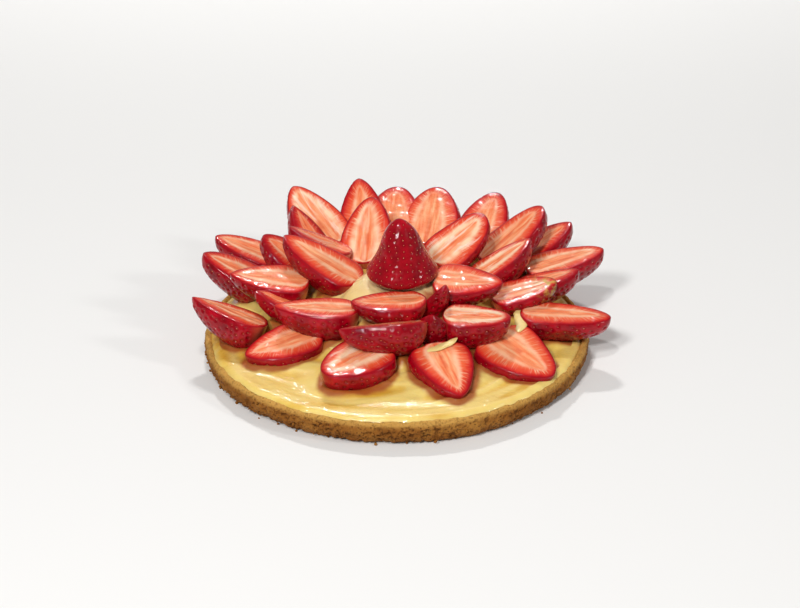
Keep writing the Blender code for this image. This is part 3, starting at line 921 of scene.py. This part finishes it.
def build_custard(undersides, material):
    """The custard: a smeared hill that wells up to the berries and laps over the rim at the front."""
    angles = np.linspace(0.0, math.tau, CUSTARD_SPOKES, endpoint=False)
    shares = np.concatenate((np.linspace(0.01, 0.38, 24), np.linspace(0.39, 1.0, 78)))
    circle = np.stack((np.cos(angles), np.sin(angles), 0.0 * angles), axis=-1) * 60.0
    lap = front_share(angles)
    edge = CUSTARD_REACH + 1.7 * lap + lap * (1.2 * ripple(circle, 9.0, 21) + 0.8 * ripple(circle, 3.5, 22))
    radius_grid = shares[:, None] * edge[None]
    angle_grid = np.broadcast_to(angles[None], radius_grid.shape)
    bearing = angle_grid.ravel()
    radius = radius_grid.ravel()
    x = (radius_grid * np.cos(angle_grid)).ravel()
    y = (radius_grid * np.sin(angle_grid)).ravel()
    height = custard_height(radius)
    lift, stain_and_shadow = berry_marks(undersides, x, y, height, radius_grid.shape)
    height = height + lift * np.clip((94.0 - radius) / 10.0, 0.0, 1.0)

    # A mound holds the whole berry up in the middle.
    away = np.hypot(x - CENTRE_PLACE[0], y - CENTRE_PLACE[1])
    sideways = np.abs(x - CENTRE_PLACE[0]) / np.maximum(away, 1.0)
    mound = 0.4 * np.maximum(0.0, away - 15.0 - 5.0 * sideways) ** 1.25
    height = np.maximum(height, CENTRE_BASE + 0.2 - mound)
    # Milky glaze round the whole berry, made paler too as painted light over the shade that berry casts.
    milk_and_painted_light = np.clip(1.7 - away / 24.0, 0.0, 1.0)

    ridge, rise = smears(x, y, radius, bearing)
    height = height + rise

    # At the rim it fills the shell and turns down in a soft lip where it laps over.
    full = 13.0 + np.tile(lap, len(shares))
    height = height + np.maximum(0.0, full - height) * np.clip((radius - 78.0) / 10.0, 0.0, 1.0)
    lip = np.clip((shares - 0.955) / 0.045, 0.0, 1.0)[:, None] * np.ones_like(angle_grid)
    height = height - (1.9 * lip.ravel() ** 3.0)
    centre = np.array([[0.0, 0.0, CUSTARD_EDGE + CUSTARD_RISE]])
    points = np.concatenate((np.stack((x, y, height), axis=-1), centre))
    faces = grid_faces(len(shares), len(angles), loop=True)
    last = len(points) - 1
    faces += [(last, step, (step + 1) % len(angles)) for step in range(len(angles))]
    fields = {
        "ridge": np.concatenate((ridge, [0.0])),
        "stain_and_shadow": np.concatenate((stain_and_shadow, [0.0])),
        "milk_and_painted_light": np.concatenate((milk_and_painted_light, [1.0])),
    }
    piece = make_piece("custard_filling", points, faces, [material], fields)
    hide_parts("custard")


def crust_profile(inner):
    """Radii and heights along the shell's section, from the middle of its underside to inside its rim."""
    profile = np.array((
        (0.0, 0.0),
        (FOOT_RADIUS, 0.0),
        (SHELL_RADIUS - 2.4, 1.2),
        (SHELL_RADIUS - 0.6, 4.5),
        (SHELL_RADIUS, 8.5),
        (SHELL_RADIUS - 0.4, SHELL_HEIGHT - 2.4),
        (SHELL_RADIUS - 1.6, SHELL_HEIGHT - 0.5),
        (SHELL_RADIUS - 3.2, SHELL_HEIGHT - 0.2),
        (inner + 0.4, SHELL_HEIGHT - 0.9),
        (inner - 0.2, SHELL_HEIGHT - 3.0),
    ))
    run = np.concatenate(([0.0], np.cumsum(np.linalg.norm(np.diff(profile, axis=0), axis=1))))
    stations = np.concatenate(([0.0], np.linspace(run[1] - 1.0, run[-1], CRUST_RINGS)))
    radii = np.interp(stations, run, profile[:, 0])
    heights = np.interp(stations, run, profile[:, 1])
    for _ in range(2):
        soften(radii[1:])
        soften(heights[1:])
    return radii, heights


def build_crust(material):
    """The shortcrust shell: crumbly side, most so at the front left, and a smoother rim."""
    inner = SHELL_RADIUS - WALL
    radii, heights = crust_profile(inner)
    angles = np.linspace(0.0, math.tau, CRUST_SPOKES, endpoint=False)
    radius_grid, angle_grid = np.meshgrid(radii, angles, indexing="ij")
    height_grid = np.broadcast_to(heights[:, None], radius_grid.shape)
    sway = 0.5 * np.sin(2 * angle_grid + 0.7) + 0.3 * np.sin(5 * angle_grid + 2.1)
    sway = sway + 0.2 * np.sin(9 * angle_grid)
    radius = radius_grid + np.where(radius_grid > inner, SHELL_WOBBLE * sway, 0.0)
    base = np.stack((radius * np.cos(angle_grid), radius * np.sin(angle_grid), height_grid), axis=-1)
    flat = base.reshape(-1, 3)
    normals = grid_normals(base)
    halfway = CRUST_RINGS // 2
    if np.sum(normals[halfway] * base[halfway] * (1, 1, 0)) < 0:
        normals = -normals
    normals = normals.reshape(-1, 3)
    height = flat[:, 2].copy()
    bearing = angle_grid.ravel()
    front = front_share(bearing)
    flat[:, 2] = np.where(height > 10.0, 10.0 + (height - 10.0) * (1.0 - 0.3 * front), height)
    rough_side = np.clip((11.5 - height) / 3.0, 0.15, 1.0)
    toward_left = 0.5 + 0.5 * np.cos(bearing - CRUMBLY_BEARING)
    rough = rough_side * (0.35 + 0.65 * toward_left)
    lumps = 0.55 * ripple(flat, 9.0, 11) + 0.45 * ripple(flat, 3.5, 12)
    crumb = ripple(flat, 1.6, 13)
    stretched = np.stack((bearing * 45.0, 0.0 * height, height), axis=-1)
    pores = ripple(stretched, 1.3, 14) + 0.7 * ripple(flat, 1.1, 15)
    # The pits are pushed into the side, and the material paints shade in them.
    pit = np.clip((pores - 0.16) / 0.35, 0.0, 1.0) * rough
    push = lumps * (0.55 + 0.45 * rough) + crumb * (0.18 + 0.55 * rough) - pit
    still = (height > 0.3) | (flat[:, 0] ** 2 + flat[:, 1] ** 2 > FOOT_RADIUS ** 2)
    points = flat + normals * (push * still)[:, None]
    points[:, 2] = np.maximum(points[:, 2], 0.0)
    faces = grid_faces(len(radii), CRUST_SPOKES, loop=True)
    fields = {"pit": pit, "height": height, "rough": rough}
    piece = make_piece("crust", points, faces, [material], fields)
    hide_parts("shell")


def build_dabs(material):
    """Ridges of custard pushed up between the berries, each swept along its own short line."""
    points = []
    faces = []
    rows, columns = 22, 14
    for number, line in enumerate(DABS):
        line = np.array(line, dtype=float)
        start = len(points)
        knots = np.linspace(0.0, 1.0, len(line))
        shares = np.linspace(0.0, 1.0, rows)
        spine = np.stack([np.interp(shares, knots, line[:, axis]) for axis in range(4)], axis=-1)
        for _ in range(3):
            soften(spine)
        taper = np.sin(np.pi * np.clip(shares, 0.001, 0.999)) ** 0.4
        ahead = unit(np.gradient(spine[:, :2], axis=0))
        for (x, y, height, wide), (dx, dy), thin in zip(spine, ahead, taper):
            for column in range(columns):
                turn = math.tau * column / columns
                lump = 1.0 + 0.35 * noise.noise(Vector((x * 0.25, y * 0.25, 3.0 * math.cos(turn) + number)))
                across = 1.15 * wide * thin * lump * math.cos(turn)
                up = 0.3 * wide * thin * lump * math.sin(turn)
                points.append((x - dy * across, y + dx * across, height + up))
        faces += grid_faces(rows, columns, start, loop=True)
    # Their ridge and milk values give them the custard's painted highlight and painted light.
    fields = {
        "ridge": np.full(len(points), 0.8),
        "stain_and_shadow": np.zeros(len(points)),
        "milk_and_painted_light": np.full(len(points), 0.4),
    }
    make_piece("custard_dabs", points, faces, [material], fields)


def build_crumbs(material):
    """Loose crumbs along the shell's foot and stuck to its side."""
    chance = random.Random(5)
    points = []
    faces = []
    for _ in range(CRUMBS):
        bearing = math.radians(chance.gauss(-140, 45))
        size = chance.uniform(0.3, 0.85)
        low = chance.random() < 0.25
        height = size * 0.7 if low else chance.uniform(1.5, 10.0)
        radius = FOOT_RADIUS + chance.uniform(2.0, 5.5) if low else SHELL_RADIUS - 0.3
        middle = Vector((radius * math.cos(bearing), radius * math.sin(bearing), height))
        start = len(points)
        rows, columns = 5, 7
        for row in range(rows):
            polar = math.pi * row / (rows - 1)
            for column in range(columns):
                turn = math.tau * column / columns
                level = math.sin(polar)
                way = Vector((level * math.cos(turn), level * math.sin(turn), math.cos(polar)))
                bulge = size * (1.0 + 0.35 * noise.noise(way * 1.7 + middle))
                spot = middle + way * bulge
                spot.z = max(spot.z, 0.0)
                points.append(tuple(spot))
        faces += grid_faces(rows, columns, start, loop=True)
    fields = {
        "pit": np.zeros(len(points)),
        "height": np.full(len(points), 6.0),
        "rough": np.full(len(points), 0.3),
    }
    make_piece("crust_crumbs", points, faces, [material], fields)


# ---- stage

def build_stage():
    """A plain pale floor, a faint even glow and soft lights."""
    mesh = bpy.data.meshes.new("floor")
    mesh.from_pydata([(-4, -4, 0), (4, -4, 0), (4, 4, 0), (-4, 4, 0)], [], [(0, 1, 2, 3)])
    mesh.materials.append(floor_material())
    floor = bpy.data.objects.new("floor", mesh)
    bpy.context.scene.collection.objects.link(floor)

    world = bpy.data.worlds.new("studio")
    world.use_nodes = True
    back = world.node_tree.nodes["Background"]
    back.inputs["Color"].default_value = (1.0, 0.99, 0.98, 1.0)
    back.inputs["Strength"].default_value = WORLD_STRENGTH
    bpy.context.scene.world = world
    bpy.context.scene.view_settings.view_transform = "Standard"

    add_light("light_back", (-0.12, 0.95, 1.20), (0.16, 0.07), 8.0)
    add_light("light_front", (-0.5, -1.2, 1.15), (0.22, 0.22), 14.5)
    add_light("light_right", (1.3, -0.5, 0.9), (0.15, 0.25), 4.5)
    add_light("light_spark", (-0.25, -0.85, 1.4), (0.06, 0.06), 6.0)

    # This one points straight down, at the floor behind the tart.
    backdrop = add_light("light_backdrop", (0.0, 0.85, 0.7), (1.2, 0.3), 0.9)
    backdrop.rotation_euler = (0.0, 0.0, 0.0)
    backdrop.data.spread = math.radians(80)


def add_light(name, place, size, power):
    """A rectangular light at a place in metres, aimed at the tart."""
    lamp = bpy.data.lights.new(name, "AREA")
    lamp.shape = "RECTANGLE"
    lamp.size, lamp.size_y = size
    lamp.energy = power
    item = bpy.data.objects.new(name, lamp)
    item.location = place
    item.rotation_euler = (Vector((0, 0, 0.02)) - Vector(place)).to_track_quat("-Z", "Y").to_euler()
    bpy.context.scene.collection.objects.link(item)
    return item


def build_camera():
    """The view from the front, a little above: the tart stands where the axis meets the middle."""
    place = Vector((0.0, -math.cos(CAMERA_ELEVATION), math.sin(CAMERA_ELEVATION))) * CAMERA_DISTANCE
    level = math.cos(CAMERA_PITCH)
    forward = Vector((math.sin(CAMERA_YAW) * level, math.cos(CAMERA_YAW) * level, -math.sin(CAMERA_PITCH)))
    right = forward.cross(Vector((0, 0, 1))).normalized()
    up = right.cross(forward)
    matrix = Matrix((right, up, -forward)).transposed().to_4x4()
    matrix.translation = place

    lens = bpy.data.cameras.new("camera")
    lens.sensor_width = SENSOR_WIDTH
    lens.lens = LENS
    lens.clip_end = 50.0
    item = bpy.data.objects.new("camera", lens)
    item.matrix_world = matrix
    bpy.context.scene.collection.objects.link(item)
    bpy.context.scene.camera = item


def main():
    """Every piece of the tart, and then what it stands on and is seen by."""
    fruit = [skin_material(), flesh_material()]
    seeds = SeedHeap()
    centre_seeds = SeedHeap()
    build_centre(centre_seeds, fruit)
    undersides = []
    for number, half in enumerate(HALVES):
        undersides.append(build_half(half, HALVES[:number], seeds, fruit, number + 1))
    red_seeds = seed_material("seed_red", srgb(176, 40, 34), srgb(208, 92, 54), srgb(236, 156, 98))
    seeds.make("berry_seeds", red_seeds)
    pale_seeds = seed_material("seed_pale", srgb(206, 84, 52), srgb(232, 138, 88), srgb(248, 196, 140))
    centre_seeds.make("centre_seeds", pale_seeds)
    custard = custard_material()
    build_custard(np.concatenate(undersides), custard)
    build_dabs(custard)
    crust = crust_material()
    build_crust(crust)
    build_crumbs(crust)
    build_stage()
    build_camera()


main()
